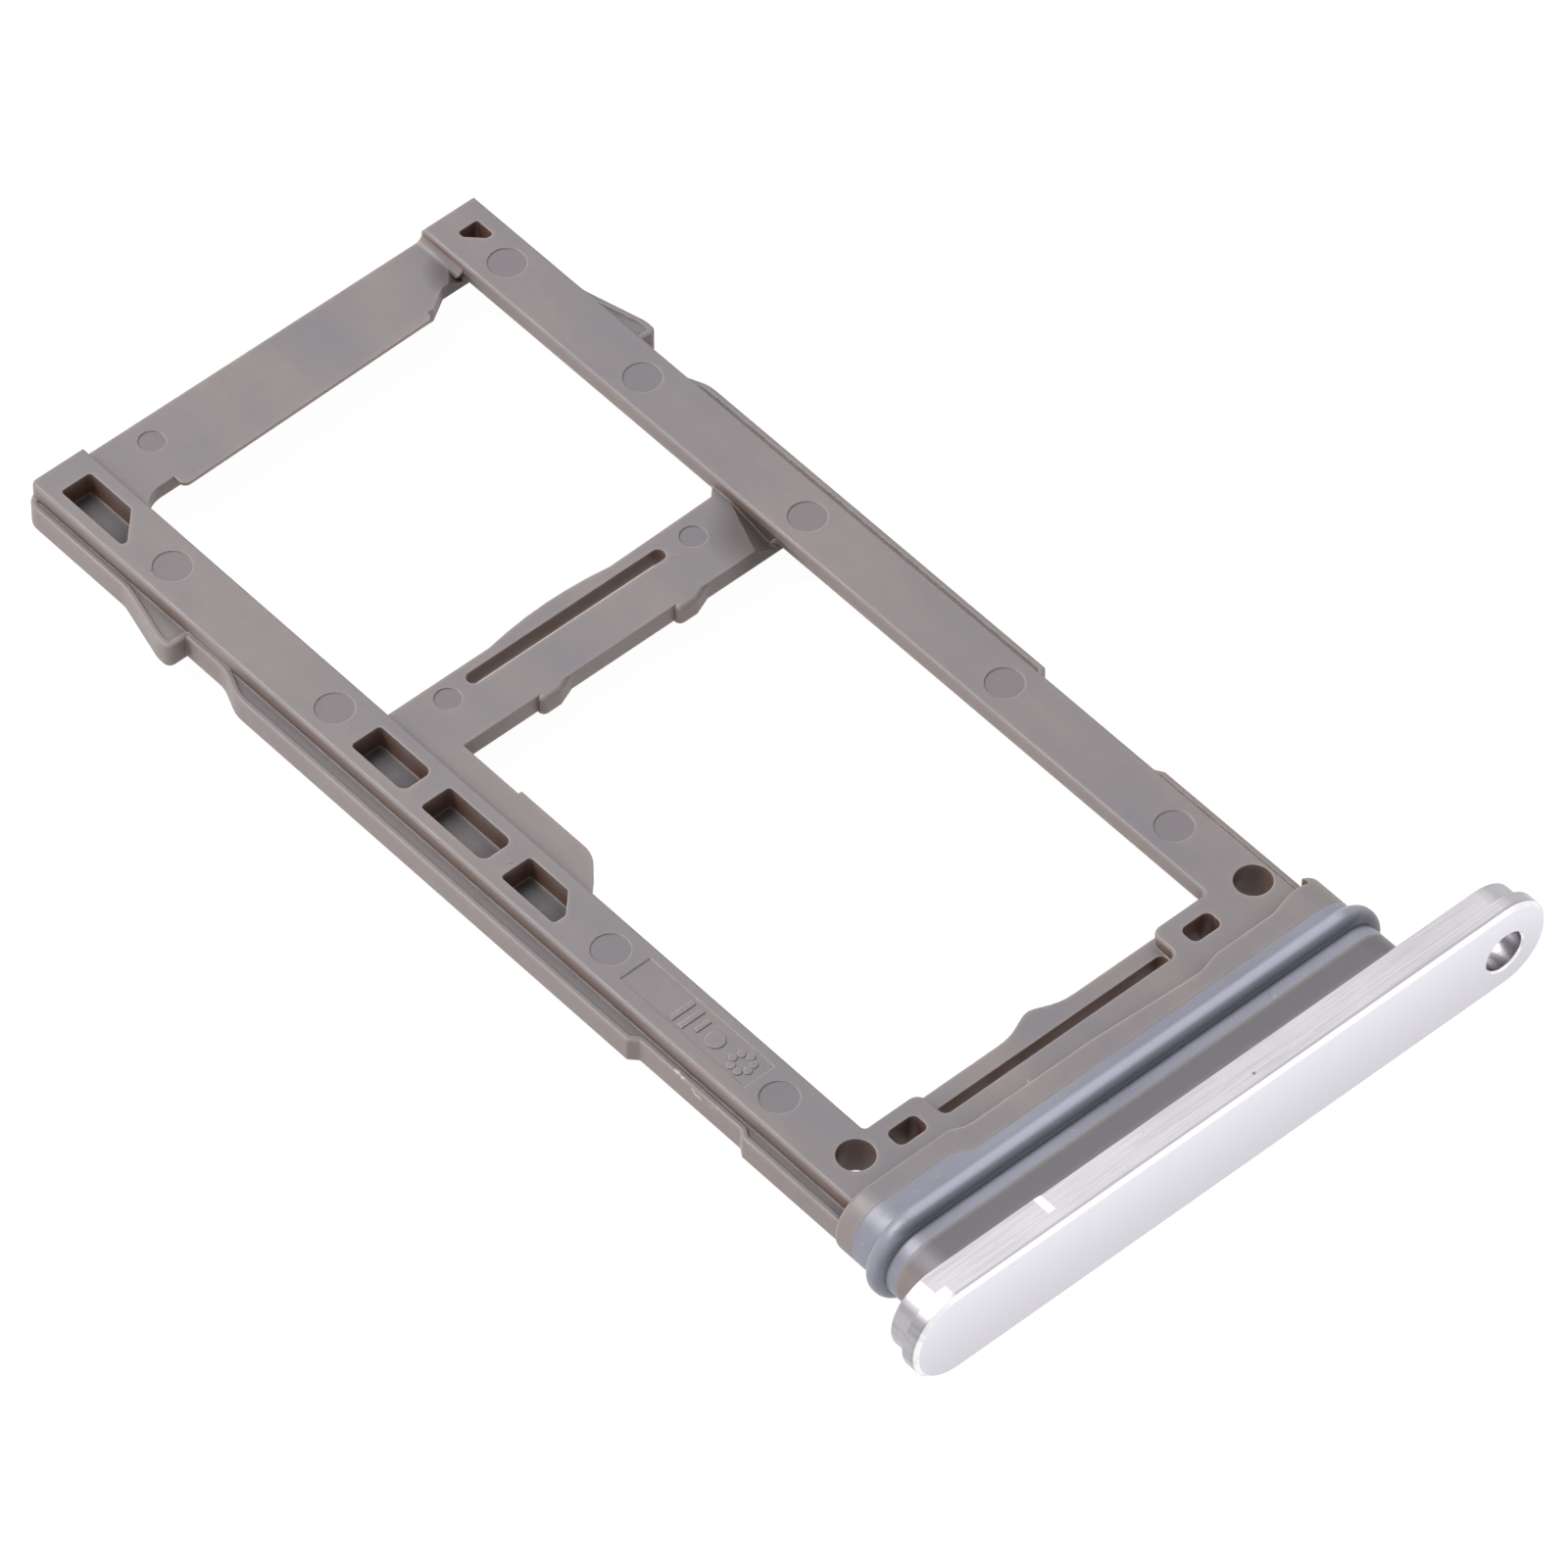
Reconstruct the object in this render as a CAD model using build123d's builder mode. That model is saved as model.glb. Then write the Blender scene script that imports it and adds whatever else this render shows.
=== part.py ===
from build123d import *
import os

# A phone's removable card tray: a moulded carrier that holds a nano-SIM card and
# a microSD card, a rubber seal moulded round its neck, and a metal end cap.
# Sizes are in millimetres. X runs across the tray, Y from the end cap to the far
# end, and Z up. The origin is at the bottom centre of the whole tray, so the end
# cap is centred on X = 0 and the carrier stands a little to the left of it. Names
# ending in _x are places across the carrier, measured from its own centreline.

# The two cards
nano_length = 8.8
nano_width = 12.3
nano_cut_corner = 1.65
micro_length = 15.0
micro_width = 11.0
micro_notch = 1.3
nano_side_gap = 0.05
micro_side_gap = 0.20
nano_end_gap = 0.30
micro_end_gap = 0.13

# Rails and bars of the carrier
carrier_width = 14.0
carrier_thickness = 1.15
carrier_offset = 1.175
rail_width = 1.67
near_bar_width = 1.55
middle_bar_width = 1.90
far_bar_width = 1.91
left_far_radius = 0.2
right_far_radius = 0.35
window_corner_radius = 0.12
rail_edge_radius = 0.09
card_step = 0.36
seat_depth = 0.46
micro_ledge = 0.33
bar_thickness = 0.56
far_bar_thickness = 0.44

# Far bar: the thin lip over the card, the relieved window corners and the cove
far_lip_left_depth = 0.39
far_lip_right_depth = 0.23
far_lip_thickness = 0.10
far_lip_left_inset = 1.22
far_lip_right_inset = 1.45
far_lip_radius = 0.2
far_left_radius = 0.8
far_relief_rise = 0.38
far_relief_run = 1.27
far_relief_lean = 0.62
far_relief_radius = 0.25
far_scoop_length = 0.74
far_scoop_reach = 0.60
far_cove_radius = 0.22

# Middle bar: the spring slot, the bowed arm, the scoop and the two nubs
middle_slot_length = 6.17
middle_slot_width = 0.38
middle_arm_width = 0.27
middle_arm_half_span = 2.0
middle_arm_bow = 0.18
middle_taper = 0.10
middle_gusset = 0.26
middle_scoop_length = 1.65
middle_scoop_reach = 0.62
scoop_depth = 0.36
nub_width = 1.07
nub_reach = 0.20
nub_run_out = 0.5
nub_radius = 0.16
nub_edge_radius = 0.12
left_nub_x = -2.15
right_nub_x = 2.13

# Near bar: the spring beam with its cam, and the slot behind it
beam_left_inset = 1.68
beam_right_inset = 1.77
beam_width = 0.47
beam_slot_width = 0.44
beam_slot_inset = 0.04
beam_slot_radius = 0.18
block_corner_radius = 0.3
cam_half_width = 1.15
cam_reach = 0.31

# Tab that fills the notch of the microSD card
tab_start = 9.24
tab_upper_length = 1.98
tab_relief = 0.10
tab_corner_radius = 0.9

# Holes in the carrier
datum_hole_radius = 0.48
datum_hole_setback = 0.46
left_datum_inset = 1.01
right_datum_inset = 0.58
square_hole_length = 0.90
square_hole_width = 0.55
square_hole_radius = 0.19
left_square_inset = 0.71
right_square_inset = 0.78
square_hole_setback = 0.70
corner_hole_size = 0.62
corner_hole_inset = 0.46
corner_hole_setback = 0.66
corner_hole_radius = 0.09

# Core-outs in the top of the left rail
core_out_depth = 0.70
core_out_width = 0.92
core_out_inset = 0.36
core_out_radius = 0.11
core_out_near_radius = 0.22
core_out_web = 0.62
first_core_out_rise = 1.52
first_core_out_length = 1.90
second_core_out_length = 2.25
third_core_out_length = 1.90
third_core_out_corner = 0.55
end_core_out_inset = 0.74
end_core_out_length = 2.28
end_core_out_corner = 0.75

# Ejector pin marks and the shallow mark panel
pin_mark_radius = 0.487
pin_mark_depth = 0.03
near_pin_setback = 1.99
second_pin_setback = 7.90
middle_pin_setback = 0.23
third_pin_setback = 7.18
far_pin_setback = 2.20
left_middle_pin_rise = 0.75
left_far_pin_setback = 4.32
small_pin_mark_radius = 0.34
bar_pin_x = 3.85
bar_pin_shift = 0.07
middle_bar_pin_setback = 0.56
far_bar_pin_setback = 0.69
panel_start = 2.75
panel_length = 4.35
panel_width = 0.93
panel_inset = 0.42
panel_depth = 0.03

# Guide flanges along both rails
flange_drop = 0.42
flange_root = 0.40
flange_base = 0.24
flange_gap = 0.13
flange_raised = 0.47
flange_recess = 0.26
flange_near = 0.40
flange_ramp = 0.22
flange_step_radius = 0.1
flange_bend_radius = 1.0
flange_tip_radius = 0.5
flange_edge_radius = 0.07
flange_rim = 0.16
flange_hollow_depth = 0.05
hook_reach = 0.70
hook_setback = 5.97
hook_crest = 0.43
hook_ramp = 1.75
hook_tip_radius = 0.2
raised_setback = 7.34
raised_ramp = 0.80
left_raised_end = 5.85
right_raised_end = 7.90
left_near_start = 2.12
right_near_start = 3.85

# Neck, with its collar, and the seal
neck_length = 2.89
neck_radius = 1.0
neck_overhang = 0.67
rail_above_axis = 0.50
collar_width = 0.88
collar_edge_radius = 0.14
collar_relief = 0.26
collar_relief_left = -4.3
collar_relief_slope = 0.5
collar_relief_right = 5.8
collar_relief_run_out = 0.9
collar_relief_radius = 0.8
collar_sag = 0.16
collar_sag_start = 0.0
collar_sag_left = 2.9
collar_sag_right = 3.4
collar_sag_end = 4.0
collar_ear = 0.20
collar_ear_gap = 0.12
seal_width = 1.27
seal_depth = 0.25
seal_step_x = -4.1
seal_step = 0.26
seal_step_slope = 0.5
seal_lip_reach = 0.33
seal_lip_end_reach = 0.25
seal_lip_width = 0.56
seal_lip_radius = 0.25
seal_lip_shift = 0.02

# End cap
front_band_thickness = 0.47
rear_band_thickness = 0.63
front_band_radius = 1.30
rear_band_radius = 1.17
rear_band_overhang = 2.02
front_band_overhang = 0.185
cap_drop = 0.08
front_chamfer = 0.10
rear_edge_radius = 0.08
band_groove = 0.04
cut_step_depth = 0.04
cut_step_x = -3.95
cut_step_slope = 0.18
pinhole_radius = 0.56
pinhole_inset = 1.33
pinhole_drop = 0.12
pinhole_chamfer = 0.05
tongue_half_length = 5.5
tongue_height = 1.1
tongue_depth = 1.25
tongue_radius = 0.3

# How close a corner or edge must be to a level to be picked there
pick_tolerance = 0.01

# Levels in Z, from the tray's lowest point
axis_z = max(neck_radius + seal_lip_reach, front_band_radius + cap_drop)
rail_top_z = axis_z + rail_above_axis

# Stations in Y, from the end cap's face to the far end
micro_bay_length = micro_length + micro_end_gap
nano_bay_length = nano_length + nano_end_gap
cap_thickness = front_band_thickness + rear_band_thickness
window_lengths = near_bar_width + micro_bay_length + middle_bar_width + nano_bay_length
overall_length = cap_thickness + neck_length + window_lengths + far_bar_width
front_y = -overall_length / 2
neck_y = front_y + cap_thickness
collar_y = neck_y + neck_length
seal_far_y = collar_y - collar_width
near_window_y = collar_y + near_bar_width
middle_bar_y = near_window_y + micro_bay_length
far_window_y = middle_bar_y + middle_bar_width
far_bar_y = far_window_y + nano_bay_length
far_end_y = far_bar_y + far_bar_width
hook_y = far_end_y - hook_setback
raised_y = far_end_y - raised_setback

# Widths in X, from the carrier's centreline
half_width = carrier_width / 2
window_x = half_width - rail_width
mark_x = half_width - rail_width / 2
nano_bay_x = nano_width / 2 + nano_side_gap
micro_bay_left = -window_x - micro_ledge
micro_bay_right = micro_bay_left + micro_width + 2 * micro_side_gap
tab_x = micro_bay_left + micro_notch
beam_left_x = beam_left_inset - window_x
beam_right_x = window_x - beam_right_inset
beam_x = (beam_left_x + beam_right_x) / 2
beam_length = beam_right_x - beam_left_x
neck_half_length = half_width + neck_overhang
rear_half_length = neck_half_length + rear_band_overhang
front_half_length = rear_half_length + front_band_overhang

# Planes on the carrier's centreline: one lies on the rails, one faces the cap
carrier_x = -carrier_offset
lip_x = carrier_x + seal_lip_shift
rail_top = Plane(origin=(carrier_x, 0, rail_top_z))


def across(y, x=carrier_x, drop=0):
    """Plane across the tray at a station, facing the end cap, centred on the neck's axis or below it."""
    return Plane(origin=(x, y, axis_z - drop), x_dir=(1, 0, 0), z_dir=(0, -1, 0))


def corners_at(sketch, *stations):
    """Corners of a sketch that lie at any of the given stations in Y."""
    return sketch.vertices().filter_by(
        lambda v: any(abs(v.Y - y) < pick_tolerance for y in stations)
    )


def flange_corners(sketch, reach, y):
    """Corners of both guide flanges at one reach out from the rails and one station."""
    return corners_at(sketch, y).filter_by(
        lambda v: abs(abs(v.X) - half_width - reach) < pick_tolerance
    )


def flange_outline(side, raised_end, near_start):
    """Points of one guide flange seen from above, from the collar to the far end."""
    profile = [
        (half_width - flange_root, collar_y - collar_width / 2),
        (half_width + flange_near, collar_y - collar_width / 2),
        (half_width + flange_near, near_window_y + near_start - flange_ramp),
        (half_width + flange_recess, near_window_y + near_start),
        (half_width + flange_recess, near_window_y + raised_end - flange_ramp),
        (half_width + flange_raised, near_window_y + raised_end),
        (half_width + flange_raised, raised_y - raised_ramp),
        (half_width + flange_gap, raised_y),
        (half_width + flange_gap, hook_y),
        (half_width + hook_reach, hook_y),
        (half_width + hook_reach, hook_y + hook_crest),
        (half_width + flange_base, hook_y + hook_crest + hook_ramp),
        (half_width + flange_base, far_end_y),
        (half_width - flange_root, far_end_y),
    ]
    return [(side * x, y) for x, y in profile]


def core_out_outline(far_y, length, corner):
    """Points of a core-out in the left rail with its near inner corner cut off."""
    left = core_out_inset - half_width
    right = left + core_out_width
    return [
        (left, far_y),
        (right, far_y),
        (right, far_y - length + corner),
        (right - corner, far_y - length),
        (left, far_y - length),
    ]


def far_relief_outline(edge_x):
    """Points of the relief in the far window's right corner, out to an edge."""
    return [
        (edge_x, far_bar_y - window_corner_radius),
        (edge_x, far_bar_y + far_relief_rise),
        (window_x - far_relief_run + far_relief_lean, far_bar_y + far_relief_rise),
        (window_x - far_relief_run, far_bar_y),
        (window_x - far_relief_run, far_bar_y - window_corner_radius),
    ]


# Seal band: what fills the neck's groove, a little wider at its left end
with BuildPart() as seal_band:
    with BuildSketch(across(seal_far_y + seal_step)):
        SlotOverall(2 * neck_half_length, 2 * neck_radius)
    extrude(amount=seal_step + seal_width)
    with BuildSketch(rail_top):
        with BuildLine():
            Polyline(
                (2 * neck_half_length, seal_far_y),
                (2 * neck_half_length, seal_far_y + 2 * seal_step),
                (seal_step_x - seal_step_slope, seal_far_y + 2 * seal_step),
                (seal_step_x - seal_step_slope, seal_far_y + seal_step),
                (seal_step_x, seal_far_y),
                close=True,
            )
        make_face()
    extrude(amount=2 * neck_half_length, both=True, mode=Mode.SUBTRACT)
    with BuildSketch(across(seal_far_y + seal_step)):
        SlotOverall(2 * (neck_half_length - seal_depth), 2 * (neck_radius - seal_depth))
    extrude(amount=seal_step + seal_width, mode=Mode.SUBTRACT)

# Collar ear: the collar's right end, which stands a little further out along the rail
with BuildPart() as collar_ear_blank:
    with BuildSketch(across(collar_y + collar_ear)):
        SlotOverall(2 * neck_half_length, 2 * neck_radius)
    extrude(amount=collar_ear + collar_width)
    fillet(collar_ear_blank.faces().sort_by(Axis.Y)[-1].edges(), radius=collar_edge_radius)
    with BuildSketch(across(collar_y + collar_ear)):
        with Locations((half_width + collar_ear_gap, 0)):
            Rectangle(4 * neck_half_length, 4 * neck_radius, align=(Align.MAX, Align.CENTER))
    extrude(amount=collar_ear + collar_width, mode=Mode.SUBTRACT)

# Neck blank: the full-round neck and collar, the seal's groove and the cap's socket
with BuildPart() as neck_blank:
    with BuildSketch(across(collar_y)):
        SlotOverall(2 * neck_half_length, 2 * neck_radius)
    extrude(amount=neck_length)
    fillet(neck_blank.faces().sort_by(Axis.Y)[-1].edges(), radius=collar_edge_radius)
    with BuildSketch(rail_top) as collar_relief_sketch:
        with BuildLine():
            Polyline(
                (collar_relief_left, collar_y),
                (collar_relief_left + collar_relief_slope, collar_y - collar_relief),
                (collar_sag_start, collar_y - collar_relief),
                (collar_sag_left, collar_y - collar_relief - collar_sag),
                (collar_sag_right, collar_y - collar_relief - collar_sag),
                (collar_sag_end, collar_y - collar_relief),
                (collar_relief_right, collar_y - collar_relief),
                (collar_relief_right + collar_relief_run_out, collar_y),
                close=True,
            )
        make_face()
        relief_bends = corners_at(
            collar_relief_sketch, collar_y - collar_relief, collar_y - collar_relief - collar_sag
        )
        fillet(relief_bends, radius=collar_relief_radius)
    extrude(amount=neck_radius, mode=Mode.SUBTRACT)
    add(collar_ear_blank.part)
    add(seal_band.part, mode=Mode.SUBTRACT)
    with BuildSketch(across(neck_y)):
        RectangleRounded(2 * tongue_half_length, tongue_height, tongue_radius)
    extrude(amount=-tongue_depth, mode=Mode.SUBTRACT)

# Guide flanges: the stepped runners and spring hooks low on both sides, hollowed behind a rim
with BuildPart() as guide_flanges:
    with BuildSketch(rail_top.offset(-flange_drop)) as flange_sketch:
        for side, raised_end, near_start in (
            (-1, left_raised_end, left_near_start),
            (1, right_raised_end, right_near_start),
        ):
            with BuildLine():
                Polyline(*flange_outline(side, raised_end, near_start), close=True)
            make_face()
        last_step_y = near_window_y + max(left_raised_end, right_raised_end)
        steps = flange_sketch.vertices().filter_by(
            lambda v: abs(v.X) > half_width and collar_y < v.Y < last_step_y + pick_tolerance
        )
        fillet(steps, radius=flange_step_radius)
        fillet(flange_corners(flange_sketch, flange_raised, raised_y - raised_ramp), flange_bend_radius)
        fillet(flange_corners(flange_sketch, flange_gap, raised_y), radius=flange_bend_radius)
        fillet(flange_corners(flange_sketch, hook_reach, hook_y), radius=hook_tip_radius)
        fillet(flange_corners(flange_sketch, hook_reach, hook_y + hook_crest), flange_bend_radius)
        hook_foot_y = hook_y + hook_crest + hook_ramp
        fillet(flange_corners(flange_sketch, flange_base, hook_foot_y), radius=flange_bend_radius)
        fillet(flange_corners(flange_sketch, flange_base, far_end_y), radius=flange_tip_radius)
    extrude(amount=flange_drop - carrier_thickness)
    rims = guide_flanges.edges().filter_by(Plane.XY)
    fillet(rims, radius=flange_edge_radius)
    with BuildSketch(rail_top.offset(-flange_drop)):
        add(flange_sketch.sketch_local)
        offset(amount=-flange_rim)
    extrude(amount=-flange_hollow_depth, mode=Mode.SUBTRACT)

# Middle nubs: the two bumps on the middle bar's near face, each running out to the right
with BuildPart() as middle_nubs:
    with BuildSketch(rail_top.offset(-card_step)) as nub_sketch:
        for nub_x in (left_nub_x, right_nub_x):
            with BuildLine():
                Polyline(
                    (nub_x, middle_bar_y + nub_reach),
                    (nub_x, middle_bar_y - nub_reach),
                    (nub_x + nub_width - nub_run_out, middle_bar_y - nub_reach),
                    (nub_x + nub_width, middle_bar_y),
                    (nub_x + nub_width, middle_bar_y + nub_reach),
                    close=True,
                )
            make_face()
        fillet(corners_at(nub_sketch, middle_bar_y - nub_reach), radius=nub_radius)
    extrude(amount=-bar_thickness)
    nub_rims = middle_nubs.faces().sort_by(Axis.Z)[-2:].edges().filter_by(
        lambda e: e.center().Y < middle_bar_y + pick_tolerance
    )
    fillet(nub_rims, radius=nub_edge_radius)

# Card carrier: the frame of rails and bars with everything that is moulded on it
with BuildPart() as card_carrier:
    # Rails and bars
    with BuildSketch(rail_top) as frame_sketch:
        with Locations((0, collar_y - collar_width / 2)):
            Rectangle(
                carrier_width,
                far_end_y - collar_y + collar_width / 2,
                align=(Align.CENTER, Align.MIN),
            )
        left_corner, right_corner = corners_at(frame_sketch, far_end_y).sort_by(Axis.X)
        fillet(left_corner, radius=left_far_radius)
        fillet(right_corner, radius=right_far_radius)
    extrude(amount=-carrier_thickness)

    # Windows, the far one with its two relieved corners
    with BuildSketch(rail_top) as window_sketch:
        with Locations((0, near_window_y)):
            Rectangle(2 * window_x, micro_bay_length, align=(Align.CENTER, Align.MIN))
        fillet(window_sketch.vertices(), radius=window_corner_radius)
    extrude(amount=-carrier_thickness, mode=Mode.SUBTRACT)
    with BuildSketch(rail_top) as far_window_sketch:
        with Locations((0, far_window_y)):
            Rectangle(2 * window_x, nano_bay_length, align=(Align.CENTER, Align.MIN))
        fillet(corners_at(far_window_sketch, far_bar_y).sort_by(Axis.X)[0], radius=far_left_radius)
        with BuildLine():
            Polyline(*far_relief_outline(window_x), close=True)
        make_face()
        fillet(corners_at(far_window_sketch, far_bar_y + far_relief_rise), radius=far_relief_radius)
    extrude(amount=-carrier_thickness, mode=Mode.SUBTRACT)

    # Tops of the middle and far bars, sunk to card level between the rails
    with BuildSketch(rail_top):
        with Locations((0, middle_bar_y - window_corner_radius)):
            Rectangle(
                2 * window_x,
                middle_bar_width + window_corner_radius,
                align=(Align.CENTER, Align.MIN),
            )
        with Locations((0, far_bar_y - far_left_radius)):
            Rectangle(2 * window_x, 2 * far_bar_width, align=(Align.CENTER, Align.MIN))
    extrude(amount=-card_step, mode=Mode.SUBTRACT)

    # Top of the near bar's beam and slot, sunk to card level between two rounded blocks
    slot_near_y = near_window_y - beam_width - beam_slot_width
    with BuildSketch(rail_top) as beam_sketch:
        with Locations((beam_x, near_window_y)):
            Rectangle(beam_length, near_window_y - slot_near_y, align=(Align.CENTER, Align.MAX))
            Rectangle(
                beam_length + 4 * block_corner_radius,
                block_corner_radius,
                align=(Align.CENTER, Align.MIN),
            )
        block_corners = corners_at(beam_sketch, near_window_y).filter_by(
            lambda v: abs(v.X - beam_x) < beam_length / 2 + pick_tolerance
        )
        fillet(block_corners, radius=block_corner_radius)
        fillet(corners_at(beam_sketch, slot_near_y), radius=beam_slot_radius)
    extrude(amount=-card_step, mode=Mode.SUBTRACT)

    # Undersides of the bars, cut on below the right rail as far as the nano-SIM bay
    underside_x = (nano_bay_x - window_x) / 2
    underside_width = nano_bay_x + window_x
    with BuildSketch(rail_top.offset(-carrier_thickness)):
        with Locations((underside_x, middle_bar_y)):
            Rectangle(underside_width, middle_bar_width, align=(Align.CENTER, Align.MIN))
        with Locations((beam_x, near_window_y)):
            Rectangle(beam_length, beam_width, align=(Align.CENTER, Align.MAX))
    extrude(amount=carrier_thickness - card_step - bar_thickness, mode=Mode.SUBTRACT)
    with BuildSketch(rail_top.offset(-carrier_thickness)):
        with Locations((underside_x, far_bar_y - far_left_radius)):
            Rectangle(underside_width, 2 * far_bar_width, align=(Align.CENTER, Align.MIN))
    extrude(amount=carrier_thickness - card_step - far_bar_thickness, mode=Mode.SUBTRACT)

    # Rounded top edges of the rails and blocks
    top_edges = card_carrier.edges().filter_by_position(
        Axis.Z, rail_top_z - pick_tolerance, rail_top_z + pick_tolerance
    )
    fillet(top_edges, radius=rail_edge_radius)

    # Bays for the two cards, open below
    with BuildSketch(rail_top.offset(-carrier_thickness)):
        with BuildLine():
            Polyline(
                (-nano_bay_x, far_window_y),
                (nano_bay_x, far_window_y),
                (nano_bay_x, far_bar_y),
                (nano_cut_corner - nano_bay_x, far_bar_y),
                (-nano_bay_x, far_bar_y - nano_cut_corner),
                close=True,
            )
        make_face()
        with BuildLine():
            Polyline(*far_relief_outline(nano_bay_x), close=True)
        make_face()
        with BuildLine():
            Polyline(
                (micro_bay_left, near_window_y),
                (micro_bay_right, near_window_y),
                (micro_bay_right, middle_bar_y),
                (tab_x, middle_bar_y),
                (tab_x, near_window_y + tab_start + micro_notch),
                (micro_bay_left, near_window_y + tab_start),
                close=True,
            )
        make_face()
    extrude(amount=carrier_thickness - seat_depth, mode=Mode.SUBTRACT)

    # Tab in the microSD card's notch
    with BuildSketch(rail_top.offset(-card_step)) as tab_sketch:
        with BuildLine():
            Polyline(
                (micro_bay_left, near_window_y + tab_start),
                (tab_x, near_window_y + tab_start + micro_notch),
                (tab_x, middle_bar_y - tab_upper_length),
                (tab_x - tab_relief, middle_bar_y - tab_upper_length),
                (tab_x - tab_relief, middle_bar_y),
                (micro_bay_left, middle_bar_y),
                close=True,
            )
        make_face()
        tab_corner = tab_sketch.vertices().group_by(Axis.X)[-1].sort_by(Axis.Y)[0]
        fillet(tab_corner, radius=tab_corner_radius)
    extrude(amount=-bar_thickness)

    # Far bar's thin lip over the nano-SIM card
    lip_left_x = far_lip_left_inset - window_x
    lip_right_x = window_x - far_lip_right_inset
    with BuildSketch(rail_top.offset(-card_step)) as lip_sketch:
        with BuildLine():
            Polyline(
                (lip_left_x, far_bar_y),
                (lip_left_x, far_bar_y - far_lip_left_depth),
                (lip_right_x, far_bar_y - far_lip_right_depth),
                (lip_right_x, far_bar_y),
                close=True,
            )
        make_face()
        lip_tips = lip_sketch.vertices().filter_by(lambda v: v.Y < far_bar_y - pick_tolerance)
        fillet(lip_tips, radius=far_lip_radius)
    extrude(amount=-far_lip_thickness)

    # Cove where the far bar's top meets the right rail
    with BuildSketch(across(far_end_y)):
        with Locations((window_x, rail_above_axis - card_step)):
            Rectangle(far_cove_radius, far_cove_radius, align=(Align.MAX, Align.MIN))
        with Locations((window_x - far_cove_radius, rail_above_axis - card_step + far_cove_radius)):
            Circle(far_cove_radius, mode=Mode.SUBTRACT)
    extrude(amount=far_bar_width - far_relief_rise)

    # Middle bar's bowed spring arm, the taper to its right and the gusset
    with BuildSketch(rail_top.offset(-card_step)):
        with BuildLine():
            ThreePointArc(
                (-middle_arm_half_span, far_window_y),
                (0, far_window_y + middle_arm_bow),
                (middle_arm_half_span, far_window_y),
            )
            Line((middle_arm_half_span, far_window_y), (-middle_arm_half_span, far_window_y))
        make_face()
        with BuildLine():
            Polyline(
                (0, far_window_y),
                (window_x, far_window_y),
                (window_x, far_window_y + middle_taper + middle_gusset),
                (window_x - middle_gusset, far_window_y + middle_taper),
                close=True,
            )
        make_face()
    extrude(amount=-bar_thickness)
    with BuildSketch(rail_top.offset(-card_step)):
        with Locations((0, far_window_y - middle_arm_width - middle_slot_width / 2)):
            SlotOverall(middle_slot_length, middle_slot_width)
    extrude(amount=-bar_thickness, mode=Mode.SUBTRACT)

    # Nubs on the middle bar's near face
    add(middle_nubs.part)

    # Sloping scoops at the right ends of the middle and far bars
    for near_y, length, reach in (
        (middle_bar_y, middle_scoop_length, middle_scoop_reach),
        (far_bar_y + far_relief_rise / 2, far_scoop_length, far_scoop_reach),
    ):
        with BuildSketch(rail_top.offset(-card_step), mode=Mode.PRIVATE) as scoop_sketch:
            with BuildLine():
                Polyline(
                    (window_x, near_y),
                    (window_x, near_y + length),
                    (window_x - reach, near_y),
                    close=True,
                )
            make_face()
        scoop_floor = rail_top.from_local_coords((window_x, near_y, -card_step - scoop_depth))
        loft([scoop_sketch.sketch, Vertex(*scoop_floor)], mode=Mode.SUBTRACT)

    # Near bar's slot and the cam on its beam
    with BuildSketch(rail_top.offset(-card_step)):
        with Locations((beam_x, slot_near_y)):
            Rectangle(
                beam_length - 2 * beam_slot_inset,
                beam_slot_width,
                align=(Align.CENTER, Align.MIN),
            )
        fillet(vertices(), radius=beam_slot_radius)
    extrude(amount=card_step - carrier_thickness, mode=Mode.SUBTRACT)
    with BuildSketch(rail_top.offset(-card_step)):
        with BuildLine():
            Spline(
                (-cam_half_width, near_window_y),
                (0, near_window_y + cam_reach),
                (cam_half_width, near_window_y),
                tangents=((1, 0), (1, 0)),
            )
            Line((cam_half_width, near_window_y), (-cam_half_width, near_window_y))
        make_face()
    extrude(amount=-bar_thickness)

    # Guide flanges
    add(guide_flanges.part)

    # Neck and collar
    add(neck_blank.part)

    # Datum holes, square holes and the corner hole, all right through
    with BuildSketch(rail_top):
        with Locations(
            (left_datum_inset - half_width, near_window_y - datum_hole_setback),
            (half_width - right_datum_inset, near_window_y - datum_hole_setback),
        ):
            Circle(datum_hole_radius)
    extrude(amount=-carrier_thickness, mode=Mode.SUBTRACT)
    with BuildSketch(rail_top):
        with Locations(
            (left_square_inset - window_x, near_window_y - square_hole_setback),
            (window_x - right_square_inset, near_window_y - square_hole_setback),
        ):
            RectangleRounded(square_hole_length, square_hole_width, square_hole_radius)
    extrude(amount=-carrier_thickness, mode=Mode.SUBTRACT)
    with BuildSketch(rail_top) as corner_hole_sketch:
        hole_x = half_width - corner_hole_inset
        hole_y = far_end_y - corner_hole_setback
        with BuildLine():
            Polyline(
                (hole_x, hole_y),
                (hole_x - corner_hole_size, hole_y),
                (hole_x - corner_hole_size, hole_y - corner_hole_size / 3),
                (hole_x - corner_hole_size / 3, hole_y - corner_hole_size),
                (hole_x, hole_y - corner_hole_size),
                close=True,
            )
        make_face()
        fillet(corner_hole_sketch.vertices(), radius=corner_hole_radius)
    extrude(amount=-carrier_thickness, mode=Mode.SUBTRACT)

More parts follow.
